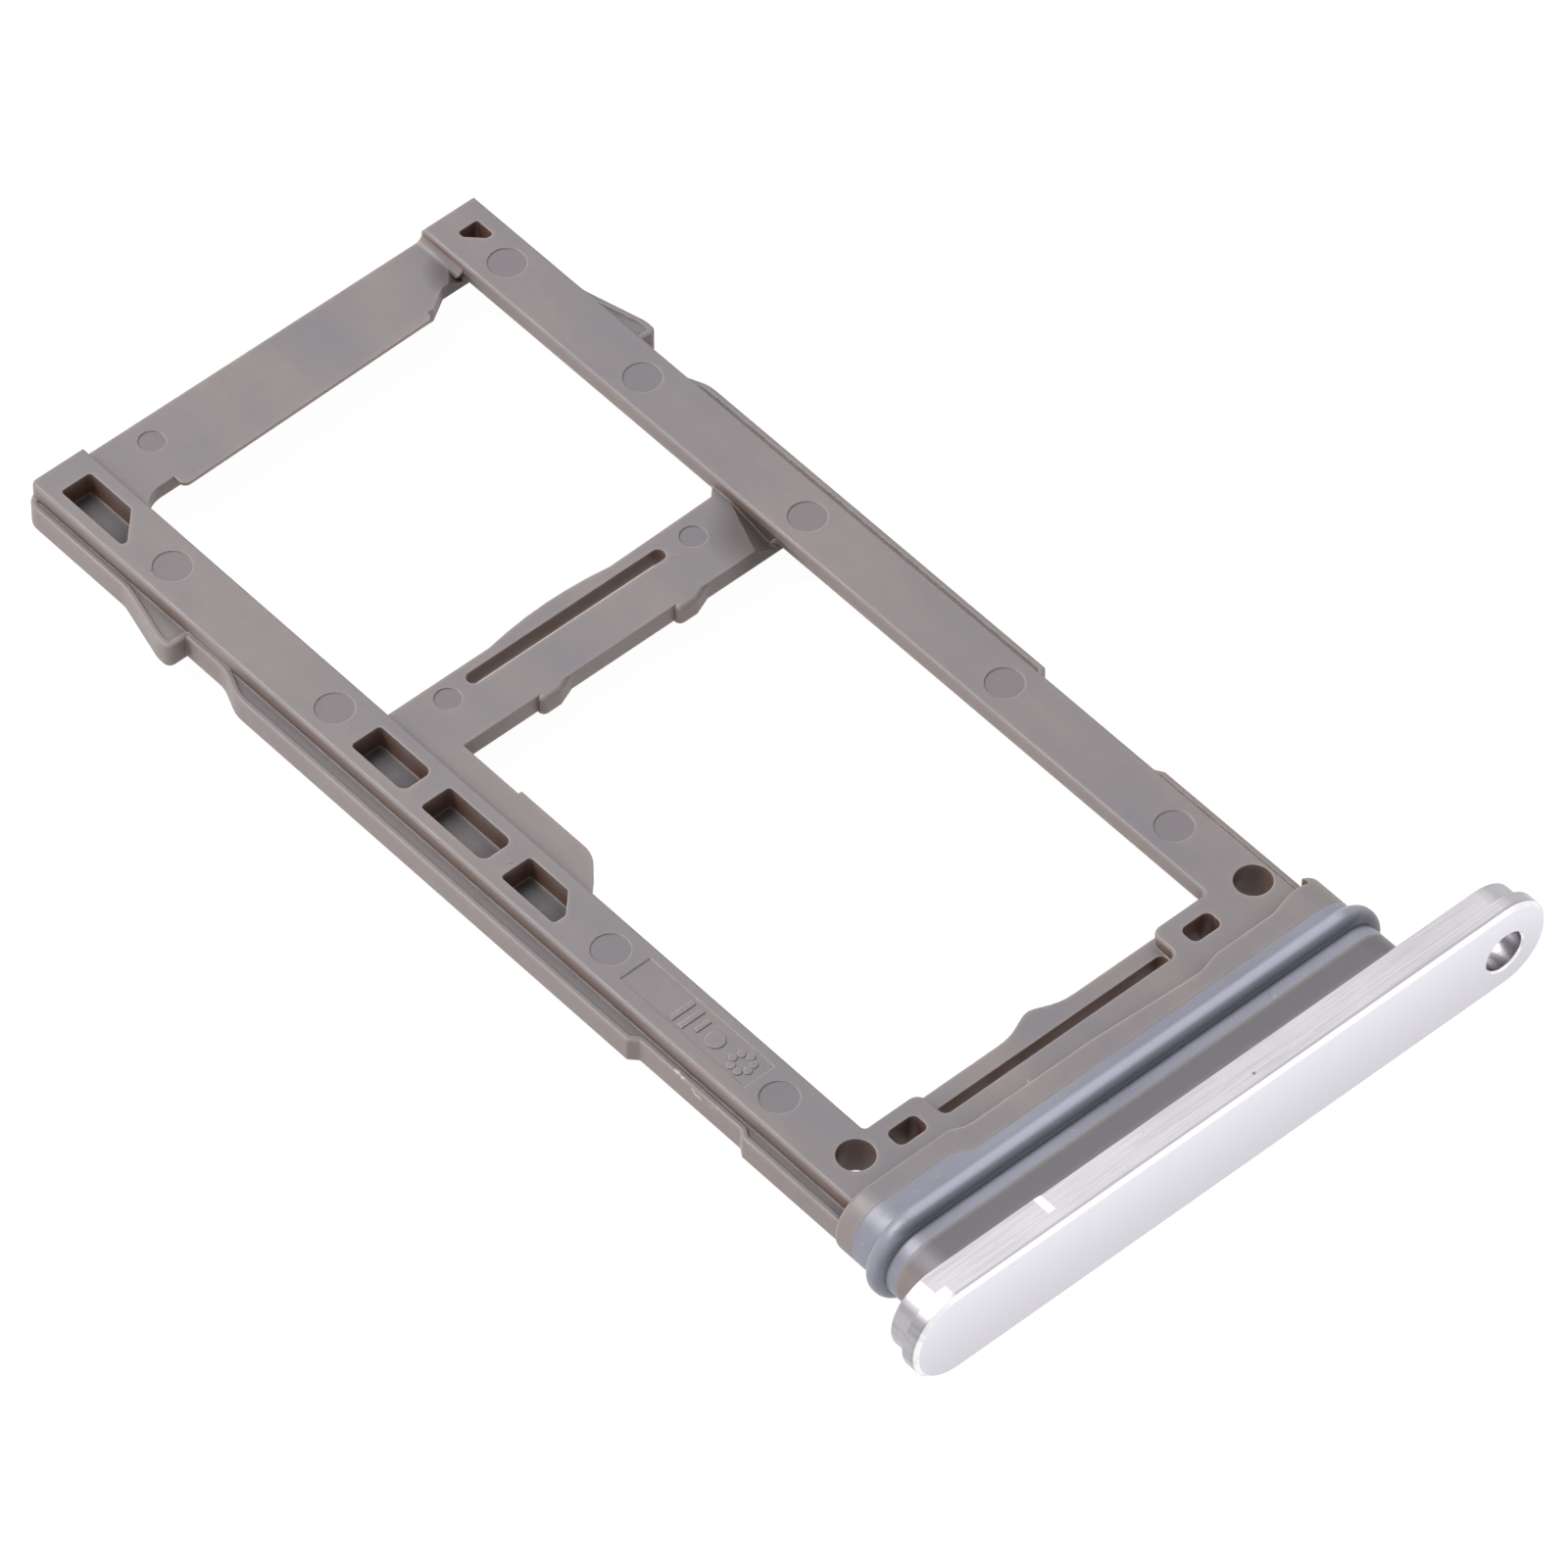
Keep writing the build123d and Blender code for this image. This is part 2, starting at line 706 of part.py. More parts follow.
    # Core-outs in the left rail: three in a row, then the one in the far corner
    first_far_y = middle_bar_y + first_core_out_rise
    first_near_y = first_far_y - first_core_out_length
    second_far_y = first_near_y - core_out_web
    second_near_y = second_far_y - second_core_out_length
    third_far_y = second_near_y - core_out_web
    core_out_x = core_out_inset - half_width
    with BuildSketch(rail_top) as plain_core_outs:
        with Locations((core_out_x, first_far_y)):
            Rectangle(core_out_width, first_core_out_length, align=(Align.MIN, Align.MAX))
        with Locations((core_out_x, second_far_y)):
            Rectangle(core_out_width, second_core_out_length, align=(Align.MIN, Align.MAX))
        fillet(corners_at(plain_core_outs, first_far_y, second_far_y), radius=core_out_radius)
        fillet(corners_at(plain_core_outs, first_near_y, second_near_y), radius=core_out_near_radius)
    extrude(amount=-core_out_depth, mode=Mode.SUBTRACT)
    with BuildSketch(rail_top) as cut_core_outs:
        with BuildLine():
            Polyline(
                *core_out_outline(third_far_y, third_core_out_length, third_core_out_corner),
                close=True,
            )
        make_face()
        with BuildLine():
            Polyline(
                *core_out_outline(
                    far_end_y - end_core_out_inset, end_core_out_length, end_core_out_corner
                ),
                close=True,
            )
        make_face()
        fillet(cut_core_outs.vertices(), radius=core_out_radius)
    extrude(amount=-core_out_depth, mode=Mode.SUBTRACT)

    # Ejector pin marks on the rails and bars, and the shallow panel for a mould mark
    with BuildSketch(rail_top):
        with Locations(
            (mark_x, near_window_y + near_pin_setback),
            (mark_x, near_window_y + second_pin_setback),
            (mark_x, middle_bar_y - middle_pin_setback),
            (mark_x, far_end_y - third_pin_setback),
            (mark_x, far_end_y - far_pin_setback),
            (-mark_x, near_window_y + near_pin_setback),
            (-mark_x, near_window_y + second_pin_setback),
            (-mark_x, far_window_y + left_middle_pin_rise),
            (-mark_x, far_end_y - left_far_pin_setback),
        ):
            Circle(pin_mark_radius)
    extrude(amount=-pin_mark_depth, mode=Mode.SUBTRACT)
    with BuildSketch(rail_top.offset(-card_step)):
        with Locations(
            (bar_pin_shift - bar_pin_x, far_window_y - middle_bar_pin_setback),
            (bar_pin_shift + bar_pin_x, far_window_y - middle_bar_pin_setback),
            (bar_pin_shift - bar_pin_x, far_end_y - far_bar_pin_setback),
        ):
            Circle(small_pin_mark_radius)
    extrude(amount=-pin_mark_depth, mode=Mode.SUBTRACT)
    with BuildSketch(rail_top):
        with Locations((panel_inset - half_width, near_window_y + panel_start)):
            Rectangle(panel_width, panel_length, align=(Align.MIN, Align.MIN))
    extrude(amount=-panel_depth, mode=Mode.SUBTRACT)

# Neck seal: the band in the neck's groove, with the rounded lip that seals
with BuildPart() as neck_seal:
    with BuildSketch(across(seal_far_y - (seal_width - seal_lip_width) / 2, lip_x)):
        SlotOverall(2 * (neck_half_length + seal_lip_end_reach), 2 * (neck_radius + seal_lip_reach))
    extrude(amount=seal_lip_width)
    fillet(neck_seal.edges(), radius=seal_lip_radius)
    with BuildSketch(across(seal_far_y)):
        SlotOverall(2 * (neck_half_length - seal_depth), 2 * (neck_radius - seal_depth))
    extrude(amount=seal_width, mode=Mode.SUBTRACT)
    add(seal_band.part)

# End cap: two stepped bands of metal, the pinhole, and the tongue held in the neck
with BuildPart() as end_cap:
    with BuildSketch(across(front_y + front_band_thickness, 0, cap_drop)):
        SlotOverall(2 * front_half_length, 2 * front_band_radius)
    extrude(amount=front_band_thickness)
    chamfer(end_cap.faces().sort_by(Axis.Y)[0].edges(), length=front_chamfer)
    with BuildSketch(across(neck_y, 0, cap_drop)):
        SlotOverall(2 * rear_half_length, 2 * rear_band_radius)
    extrude(amount=rear_band_thickness)
    fillet(end_cap.faces().sort_by(Axis.Y)[-1].edges(), radius=rear_edge_radius)
    with BuildSketch(across(front_y + front_band_thickness + band_groove, 0, cap_drop)):
        SlotOverall(2 * rear_half_length, 2 * rear_band_radius)
        SlotOverall(
            2 * (rear_half_length - band_groove), 2 * (rear_band_radius - band_groove),
            mode=Mode.SUBTRACT,
        )
    extrude(amount=band_groove, mode=Mode.SUBTRACT)
    with BuildSketch(across(neck_y, drop=cap_drop)):
        with BuildLine():
            Polyline(
                (cut_step_x, rear_band_radius),
                (cut_step_x - cut_step_slope, rear_band_radius - cut_step_depth),
                (-2 * rear_half_length, rear_band_radius - cut_step_depth),
                (-2 * rear_half_length, rear_band_radius),
                close=True,
            )
        make_face()
    extrude(amount=rear_band_thickness, mode=Mode.SUBTRACT)
    with BuildSketch(across(neck_y, 0, cap_drop)):
        with Locations((front_half_length - pinhole_inset, -pinhole_drop)):
            Circle(pinhole_radius)
    extrude(amount=cap_thickness, mode=Mode.SUBTRACT)
    pinhole_rim = end_cap.faces().sort_by(Axis.Y)[0].edges().filter_by(GeomType.CIRCLE)
    chamfer(pinhole_rim.sort_by(SortBy.RADIUS)[0], length=pinhole_chamfer)
    with BuildSketch(across(neck_y)):
        RectangleRounded(2 * tongue_half_length, tongue_height, tongue_radius)
    extrude(amount=-tongue_depth)

os.makedirs("parts", exist_ok=True)
card_carrier.part.label = "card_carrier"
export_step(card_carrier.part, "parts/card_carrier.step")
neck_seal.part.label = "neck_seal"
export_step(neck_seal.part, "parts/neck_seal.step")
end_cap.part.label = "end_cap"
export_step(end_cap.part, "parts/end_cap.step")
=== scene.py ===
"""Looks of a phone's card tray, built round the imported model, in metres and in its frame."""
import math

import bmesh
import bpy
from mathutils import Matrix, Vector


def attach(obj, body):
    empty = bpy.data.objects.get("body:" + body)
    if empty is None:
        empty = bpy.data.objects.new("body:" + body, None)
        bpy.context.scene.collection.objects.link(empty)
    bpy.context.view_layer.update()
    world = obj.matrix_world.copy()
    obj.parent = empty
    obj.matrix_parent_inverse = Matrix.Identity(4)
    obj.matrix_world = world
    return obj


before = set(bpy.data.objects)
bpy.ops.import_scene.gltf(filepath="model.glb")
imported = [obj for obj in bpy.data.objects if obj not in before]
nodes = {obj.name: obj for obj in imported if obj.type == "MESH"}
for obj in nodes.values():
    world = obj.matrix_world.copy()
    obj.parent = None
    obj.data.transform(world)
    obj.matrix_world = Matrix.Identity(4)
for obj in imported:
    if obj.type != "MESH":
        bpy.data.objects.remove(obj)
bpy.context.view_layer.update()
scene = bpy.context.scene
scene.view_settings.view_transform = "Standard"

MM = 0.001

# Levels on the tray that its finishes and small pieces share
CARRIER_X = -1.175 * MM
DATUM_Y = -11.70 * MM
RAIL_TOP_Z = 1.88 * MM
CARD_STEP = 0.36 * MM
SEAL_Y = DATUM_Y - 2.61 * MM
CAP_FRONT_Y = -16.79 * MM
BAND_STEP_Y = CAP_FRONT_Y + 0.47 * MM
PANEL_Y = DATUM_Y + 5.375 * MM
PANEL_HALF_LENGTH = 2.25 * MM
PIN_MARK_FLOOR = 0.034 * MM
PIN_MARK_TOP = 0.018 * MM
SCENE_SEED = 7


def mm(*point):
    """A point given in millimetres, as a vector in metres."""
    return Vector(point) * MM


def on_tray(x, y, z=0.0):
    """A place in millimetres from the carrier's centreline, the datum holes and the rail tops."""
    return Vector((CARRIER_X, DATUM_Y, RAIL_TOP_Z)) + mm(x, y, z)


# Raised marks on the left rail's panel, in millimetres: across, along, length and width
MARK_BARS = {
    "mould_mark_upper_bar": (-6.13, 5.88, 0.74, 0.15),
    "mould_mark_lower_bar": (-6.13, 5.55, 0.74, 0.15),
    "mould_mark_dash": (-6.08, 5.22, 0.46, 0.13),
}
DOT_PLACE = (-6.14, 4.70)
DOT_RADIUS = 0.25
STAMP_PLACE = (-6.13, 3.78)
MARK_ROOT = 0.031
MARK_HEIGHT = 0.028 * MM


def on_panel(x, y):
    """The middle of a raised mark on the left rail's panel."""
    return on_tray(x, y, -MARK_ROOT) + Vector((0, 0, MARK_HEIGHT / 2))


# Small blemishes: flash, rubbed patches and specks on the cap; also painted shade in dim corners
# and painted highlights as glints on the seal
FLASH_PLACES = [
    on_tray(-5.38, 18.62, -0.05), on_tray(-5.35, 25.90, -0.20), on_tray(-6.59, 24.45, -0.01),
    on_tray(3.13, 16.74, -0.37), on_tray(-6.16, 11.87, -0.01), on_tray(-3.83, -1.06, 0.03),
]
RUBBED_PLACES = [
    (on_tray(-7.42, 4.75, -0.42), 0.35 * MM), (on_tray(-7.40, 4.1, -0.42), 0.35 * MM),
    (on_tray(-7.36, 3.4, -0.42), 0.30 * MM), (on_tray(-1.60, -1.2, 0.1), 0.30 * MM),
]
# Painted shade: places and reaches where the corners under the right rail are painted darker
PAINTED_SHADE_CORNERS = [
    (on_tray(5.40, 15.9, -0.60), 1.60 * MM), (on_tray(5.30, 27.1, -0.60), 0.95 * MM),
]
# Painted highlights: places of bright glints on the seal
SEAL_GLINTS = [on_tray(6.56, -3.05, 0.6), on_tray(6.74, -3.02, 0.6), on_tray(6.38, -3.17, 0.6)]
GLINT_REACH = 0.07 * MM
CAP_SPECKS = [
    mm(-3.4, -16.79, 1.2), mm(-1.6, -16.79, 0.9), mm(0.9, -16.4, 2.6), mm(-7.9, -16.79, 1.0),
]
SPECK_REACH = 0.06 * MM

# Camera and lamp
CAMERA_PLACE = mm(-147.265, -167.28, 260.66)
CAMERA_TARGET = mm(-0.984, -2.248, 1.88)
CAMERA_LENS = 333.1
LAMP_PLACE = mm(-105, 150, 310)
LAMP_SIZE = 0.22
LAMP_POWER = 1.65


def srgb(red, green, blue):
    """A colour given as it looks on a screen, 0 to 255, as linear RGBA."""
    channels = []
    for value in (red, green, blue):
        value /= 255
        channels.append(value / 12.92 if value < 0.04045 else ((value + 0.055) / 1.055) ** 2.4)
    return (*channels, 1.0)


WHITE = (1, 1, 1, 1)


# Camera, at the photograph's angle
def place_camera():
    """A long lens from the front left, well above the tray."""
    camera_data = bpy.data.cameras.new("camera")
    camera_data.lens = CAMERA_LENS
    camera_data.sensor_width = 36
    camera_data.clip_start = 0.01
    camera_data.clip_end = 10
    camera = bpy.data.objects.new("camera", camera_data)
    camera.location = CAMERA_PLACE
    view = CAMERA_TARGET - CAMERA_PLACE
    camera.rotation_euler = view.to_track_quat("-Z", "Y").to_euler()
    scene.collection.objects.link(camera)
    scene.camera = camera


place_camera()


class Shader:
    """A material's node tree with short ways to add and join its nodes."""

    def __init__(self, name):
        self.material = bpy.data.materials.new(name)
        self.material.use_nodes = True
        self.tree = self.material.node_tree
        self.tree.nodes.clear()
        self.output = self.node("ShaderNodeOutputMaterial")

    def node(self, kind, inputs=None, **settings):
        made = self.tree.nodes.new(kind)
        for key, value in settings.items():
            setattr(made, key, value)
        for key, value in (inputs or {}).items():
            self.feed(made.inputs[key], value)
        return made

    def feed(self, socket, value):
        if isinstance(value, bpy.types.NodeSocket):
            self.tree.links.new(value, socket)
        else:
            socket.default_value = value

    def position(self):
        return self.node("ShaderNodeTexCoord").outputs["Object"]

    def facing(self, name):
        """How far the face turns towards one axis, from -1 to 1."""
        return self.axis(self.node("ShaderNodeNewGeometry").outputs["Normal"], name)

    def noise(self, size, detail=3.0, vector=None, stretch=None):
        """Noise whose blotches are about this size in metres."""
        vector = vector or self.position()
        if stretch:
            mapping = self.node("ShaderNodeMapping", {"Vector": vector, "Scale": stretch})
            vector = mapping.outputs["Vector"]
        made = self.node(
            "ShaderNodeTexNoise",
            {"Vector": vector, "Scale": 1 / size, "Detail": detail, "Roughness": 0.55},
        )
        return made.outputs["Fac"]

    def ramp(self, value, low, high, start=0.0, end=1.0):
        made = self.node(
            "ShaderNodeMapRange",
            {"Value": value, "From Min": low, "From Max": high, "To Min": start, "To Max": end},
        )
        return made.outputs["Result"]

    def math(self, operation, first, second=0.0):
        made = self.node("ShaderNodeMath", operation=operation)
        self.feed(made.inputs[0], first)
        self.feed(made.inputs[1], second)
        return made.outputs["Value"]

    def times(self, first, second):
        return self.math("MULTIPLY", first, second)

    def apart(self, value, level):
        """The distance between a value and a level."""
        return self.math("ABSOLUTE", self.math("SUBTRACT", value, level))

    def axis(self, vector, name):
        return self.node("ShaderNodeSeparateXYZ", {"Vector": vector}).outputs[name]

    def near(self, place, reach):
        """1 at a place on the tray, fading to 0 at this distance from it."""
        gap = self.node("ShaderNodeVectorMath", operation="DISTANCE")
        self.feed(gap.inputs[0], self.position())
        self.feed(gap.inputs[1], place)
        return self.ramp(gap.outputs["Value"], reach * 0.5, reach, 1.0, 0.0)

    def shelter(self, reach):
        """0 in the open, rising towards 1 deep in a pocket or a corner."""
        open_sky = self.node("ShaderNodeAmbientOcclusion", {"Distance": reach}, samples=5)
        open_sky.only_local = True
        return self.math("SUBTRACT", 1.0, open_sky.outputs["AO"])

    def blend(self, amount, first, second):
        """Two colours mixed by an amount; the node's inputs 6 and 7 are its colours."""
        made = self.node("ShaderNodeMix", data_type="RGBA")
        self.feed(made.inputs["Factor"], amount)
        self.feed(made.inputs[6], first)
        self.feed(made.inputs[7], second)
        return made.outputs[2]

    def bump(self, height, distance, strength=1.0, normal=None):
        inputs = {"Height": height, "Distance": distance, "Strength": strength}
        if normal is not None:
            inputs["Normal"] = normal
        return self.node("ShaderNodeBump", inputs).outputs["Normal"]

    def rounded(self, radius):
        """Normals that run smoothly round an edge of this radius."""
        made = self.node("ShaderNodeBevel", {"Radius": radius})
        made.samples = 6
        return made.outputs["Normal"]

    def edge(self, radius, low, high):
        """0 on a flat face, rising to 1 along its edges."""
        plain = self.node("ShaderNodeNewGeometry").outputs["Normal"]
        turned = self.node("ShaderNodeVectorMath", operation="DOT_PRODUCT")
        self.feed(turned.inputs[0], self.rounded(radius))
        self.feed(turned.inputs[1], plain)
        bend = self.math("SUBTRACT", 1.0, turned.outputs["Value"])
        return self.ramp(bend, low, high)

    def surface(self, inputs):
        made = self.node("ShaderNodeBsdfPrincipled", inputs)
        self.feed(self.output.inputs["Surface"], made.outputs["BSDF"])
        return self.material


# The moulded plastic, one step of its colour at a time
def plastic_tone(shader):
    """Cool and warm grey in long flow marks, with mottle and fine glass fibre."""
    flow = shader.ramp(shader.noise(3.4 * MM, 2.0, stretch=(1.6, 0.5, 1.4)), 0.36, 0.68)
    colour = shader.blend(flow, srgb(112, 108, 112), srgb(124, 116, 115))
    mottle = shader.ramp(shader.noise(0.5 * MM, 4.0), 0.3, 0.7)
    colour = shader.blend(shader.times(mottle, 0.22), colour, srgb(107, 102, 104))
    fibre = shader.ramp(shader.noise(0.06 * MM, 2.0), 0.62, 0.74)
    return shader.blend(shader.times(fibre, 0.09), colour, srgb(160, 153, 151))


def cool_pin_marks(shader, colour, level):
    """Marks left by the mould's pins are a little cooler than the face round them."""
    height = shader.axis(shader.position(), "Z")
    from_panel = shader.apart(shader.axis(shader.position(), "Y"), PANEL_Y)
    off_panel = shader.ramp(
        from_panel, PANEL_HALF_LENGTH, PANEL_HALF_LENGTH + 0.05 * MM, 0.0, 0.65
    )
    for top in (RAIL_TOP_Z, RAIL_TOP_Z - CARD_STEP):
        below = shader.ramp(height, top - PIN_MARK_TOP, top - PIN_MARK_TOP + 0.01 * MM, 1.0, 0.0)
        above = shader.ramp(height, top - PIN_MARK_FLOOR - 0.006 * MM, top - PIN_MARK_FLOOR)
        sunk = shader.times(shader.times(below, above), level)
        colour = shader.blend(shader.times(sunk, off_panel), colour, srgb(104, 99, 104))
    return colour


def neck_painted_shade(shader, colour):
    """Painted shade: the neck between the seal and the cap, shut in between them, is painted
    darker and cooler.
    """
    along = shader.axis(shader.position(), "Y")
    neck = shader.ramp(along, SEAL_Y - 0.75 * MM, SEAL_Y - 0.65 * MM, 1.0, 0.0)
    return shader.blend(neck, colour, srgb(93, 90, 95))


def shade_walls(shader, colour, level):
    """Painted light and shade: walls, facing sideways, are painted warm, and painted shade turns
    walls brown and pocket floors dark grey where little light reaches them.
    """
    wall = shader.math("SUBTRACT", 1.0, level)
    colour = shader.blend(shader.times(wall, 0.7), colour, srgb(136, 124, 120))
    deep = shader.blend(level, srgb(98, 66, 50), srgb(43, 41, 44))
    return shader.blend(shader.ramp(shader.shelter(1.0 * MM), 0.26, 0.55), colour, deep)


def light_edges(shader, colour):
    """Painted highlights: thin lit edges, broken up by noise, and a softer painted glow of thin
    plastic beside them.
    """
    glow = shader.ramp(shader.noise(1.2 * MM, 2.0), 0.3, 0.7, 0.1, 0.5)
    soft_edge = shader.edge(0.30 * MM, 0.01, 0.3)
    colour = shader.blend(shader.times(soft_edge, glow), colour, srgb(146, 133, 127))
    broken = shader.ramp(shader.noise(0.35 * MM, 3.0), 0.3, 0.7, 0.35, 0.95)
    thin_edge = shader.edge(0.07 * MM, 0.06, 0.32)
    return shader.blend(shader.times(thin_edge, broken), colour, srgb(172, 164, 161))


def paint_corner_shade(shader, colour):
    """Painted shade: the corners where the bars run in under the right rail are painted darker,
    below the rail tops.
    """
    height = shader.axis(shader.position(), "Z")
    low = shader.ramp(height, RAIL_TOP_Z - 0.33 * MM, RAIL_TOP_Z - 0.25 * MM, 0.75, 0.0)
    for place, reach in PAINTED_SHADE_CORNERS:
        dim = shader.times(shader.near(place, reach), low)
        colour = shader.blend(dim, colour, srgb(70, 62, 62))
    return colour


def rub_patches(shader, colour):
    """Rubbed patches on the left flange and a scratched one on the collar."""
    rub = shader.ramp(shader.noise(0.14 * MM, 3.0, stretch=(1.0, 0.35, 1.0)), 0.56, 0.62)
    for place, reach in RUBBED_PLACES:
        patch = shader.times(shader.near(place, reach), rub)
        colour = shader.blend(shader.times(patch, 0.8), colour, srgb(200, 194, 190))
    return colour


def moulded_plastic():
    """Cool grey glass-filled plastic, with a painted warm glow and highlights at its edges and
    painted brown shade inside its pockets.
    """
    shader = Shader("moulded_plastic")
    level = shader.ramp(shader.facing("Z"), 0.55, 0.9)
    colour = plastic_tone(shader)
    colour = cool_pin_marks(shader, colour, level)
    colour = neck_painted_shade(shader, colour)
    colour = shade_walls(shader, colour, level)
    colour = light_edges(shader, colour)
    colour = paint_corner_shade(shader, colour)
    colour = rub_patches(shader, colour)
    grain = shader.math("ADD", shader.noise(0.05 * MM, 3.0), shader.noise(0.4 * MM, 2.0))
    normal = shader.bump(grain, 0.004 * MM, 0.55, shader.rounded(0.05 * MM))
    rough = shader.ramp(shader.noise(0.9 * MM, 3.0), 0.3, 0.7, 0.42, 0.56)
    return shader.surface({
        "Base Color": colour,
        "Roughness": rough,
        "Normal": normal,
        "Subsurface Weight": 0.22,
        "Subsurface Radius": (0.45 * MM, 0.32 * MM, 0.26 * MM),
        "Subsurface Scale": 1.0,
        "Specular IOR Level": 0.45,
    })


# The seal's rubber
def rubber_tone(shader):
    """Blue-grey flow marks with dust and pits, and a few painted glints of highlight."""
    tone = shader.ramp(shader.noise(1.6 * MM, 3.0, stretch=(0.4, 1.5, 1.5)), 0.35, 0.65)
    colour = shader.blend(tone, srgb(117, 118, 129), srgb(127, 128, 140))
    dust = shader.ramp(shader.noise(0.08 * MM, 2.0), 0.68, 0.76)
    colour = shader.blend(shader.times(dust, 0.4), colour, srgb(190, 190, 198))
    pits = shader.node(
        "ShaderNodeTexVoronoi", {"Vector": shader.position(), "Scale": 1 / (1.1 * MM)}
    )
    pit = shader.ramp(pits.outputs["Distance"], 0.03, 0.06, 1.0, 0.0)
    colour = shader.blend(shader.times(pit, 0.45), colour, srgb(80, 82, 94))
    # Painted highlights: bright glints on the seal
    for place in SEAL_GLINTS:
        colour = shader.blend(shader.near(place, GLINT_REACH), colour, srgb(236, 236, 242))
    return colour


def shade_lip(shader, colour):
    """Painted shade in the creases and on the side of the lip that faces the cap, and a painted
    highlight along its crest.
    """
    crease = shader.ramp(shader.shelter(0.35 * MM), 0.3, 0.85)
    colour = shader.blend(crease, colour, srgb(84, 86, 98))
    height = shader.axis(shader.position(), "Z")
    lip = shader.ramp(height, RAIL_TOP_Z + 0.56 * MM, RAIL_TOP_Z + 0.66 * MM)
    shaded = shader.times(shader.ramp(shader.facing("Y"), -0.15, -0.75), lip)
    colour = shader.blend(shader.times(shaded, 0.75), colour, srgb(82, 82, 94))
    crest = shader.ramp(height, RAIL_TOP_Z + 0.80 * MM, RAIL_TOP_Z + 0.83 * MM)
    return shader.blend(shader.times(crest, 0.8), colour, srgb(152, 153, 167))


def seal_rubber():
    """Smooth blue-grey silicone with a low ripple."""
    shader = Shader("seal_rubber")
    colour = shade_lip(shader, rubber_tone(shader))
    ripple = shader.noise(0.22 * MM, 3.0, stretch=(0.5, 1.0, 1.0))
    normal = shader.bump(ripple, 0.005 * MM, 0.5)
    rough = shader.ramp(shader.noise(0.5 * MM, 3.0), 0.3, 0.7, 0.32, 0.44)
    return shader.surface({
        "Base Color": colour,
        "Roughness": rough,
        "Normal": normal,
        "Subsurface Weight": 0.12,
        "Subsurface Radius": (0.25 * MM, 0.28 * MM, 0.35 * MM),
        "Subsurface Scale": 1.0,
        "Specular IOR Level": 0.5,
    })


# The cap's metal, one step of its colour at a time
def metal_tone(shader):
    """Pale satin aluminium, a little cloudy, with stains and specks."""
    cloud = shader.ramp(shader.noise(3.2 * MM, 3.0), 0.35, 0.65)
    colour = shader.blend(cloud, srgb(210, 206, 211), srgb(201, 197, 203))
    stain = shader.ramp(shader.noise(0.16 * MM, 2.0), 0.70, 0.76)
    colour = shader.blend(shader.times(stain, 0.3), colour, srgb(150, 146, 150))
    for spot in CAP_SPECKS:
        colour = shader.blend(shader.near(spot, SPECK_REACH), colour, srgb(120, 112, 112))
    return colour


def fade_front(shader, colour):
    """Painted reflection: the front is painted lighter at the top and fades darker towards its
    lower edge.
    """
    front = shader.ramp(shader.times(shader.facing("Y"), -1.0), 0.6, 0.9)
    fade = shader.ramp(shader.axis(shader.position(), "Z"), 0.1 * MM, 2.5 * MM)
    face = shader.blend(fade, srgb(212, 209, 216), srgb(232, 230, 238))
    return shader.blend(front, colour, face)


def line_bands(shader, colour, side):
    """Painted highlights: a bright line at the step between the bands, bright edges and a white
    chamfer; painted shade darkens a crease near the front.
    """
    along = shader.axis(shader.position(), "Y")
    step = shader.ramp(shader.apart(along, BAND_STEP_Y), 0.03 * MM, 0.06 * MM, 1.0, 0.0)
    step_line = shader.times(step, side)
    colour = shader.blend(shader.times(step_line, 0.6), colour, srgb(216, 214, 219))
    by_front = shader.ramp(shader.apart(along, CAP_FRONT_Y), 0.15 * MM, 0.19 * MM, 1.0, 0.0)
    crease = shader.times(by_front, side)
    colour = shader.blend(shader.times(crease, 0.5), colour, srgb(150, 147, 152))
    bright = shader.times(shader.edge(0.05 * MM, 0.05, 0.3), 0.45)
    colour = shader.blend(bright, colour, srgb(250, 250, 252))
    slant = shader.times(shader.facing("Y"), -1.0)
    chamfer = shader.times(
        shader.ramp(slant, 0.4, 0.6), shader.ramp(slant, 0.8, 0.9, 1.0, 0.0)
    )
    return shader.blend(shader.times(chamfer, by_front), colour, WHITE)


def grey_ends(shader, colour, side):
    """Painted light and shade: faces that lean over are painted greyer, the round ends get dark
    painted streaks of reflection, and sheltered places are painted darker.
    """
    turn = shader.math("ABSOLUTE", shader.facing("X"))
    leaning = shader.times(shader.ramp(turn, 0.08, 0.25, 0.0, 0.6), side)
    colour = shader.blend(leaning, colour, srgb(170, 167, 172))
    end = shader.ramp(turn, 0.35, 0.8)
    streak = shader.ramp(shader.noise(0.30 * MM, 2.0, stretch=(1.0, 0.12, 1.0)), 0.44, 0.6)
    streaked = shader.times(shader.times(end, streak), 0.4)
    colour = shader.blend(streaked, colour, srgb(112, 108, 112))
    dark = shader.ramp(shader.shelter(0.5 * MM), 0.55, 0.95, 0.0, 0.6)
    return shader.blend(dark, colour, srgb(136, 132, 136))


